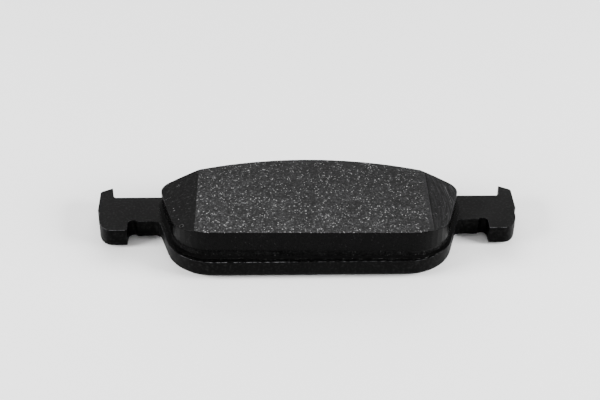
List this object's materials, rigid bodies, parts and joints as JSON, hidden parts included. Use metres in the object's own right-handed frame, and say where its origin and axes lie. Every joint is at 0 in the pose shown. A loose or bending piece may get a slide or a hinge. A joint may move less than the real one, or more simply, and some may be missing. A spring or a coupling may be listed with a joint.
{
  "type": "disc brake pad",
  "caption": "Disc brake pad: steel backing plate with hammerhead ears, bonded friction block with ground end chamfers, and a rubber-coated shim on the back.",
  "frame": {"origin": "middle of the whole pad's length and depth, on the surface that the shim lies on", "axes": "+X along the pad from ear to ear, +Y away from the disc's axle, +Z from the shim towards the friction face"},
  "size_m": [0.155, 0.0504, 0.0184],
  "materials": {
    "black_powder_coat": "fine-grained satin powder coat",
    "phenolic_adhesive": "cured film",
    "underlayer_compound": "moulded, matt",
    "friction_compound": "ground, with bright flakes",
    "shim_glue": "pressure-sensitive film",
    "nitrile_rubber": "matt coat",
    "shim_steel": "cold rolled"
  },
  "bodies": {
    "root": {"backing_plate": "black_powder_coat", "bond_adhesive": "phenolic_adhesive", "underlayer": "underlayer_compound", "friction_block": "friction_compound", "shim_glue": "shim_glue", "shim_inner_rubber": "nitrile_rubber", "shim_steel_core": "shim_steel", "shim_outer_rubber": "nitrile_rubber"}
  },
  "joints": []
}
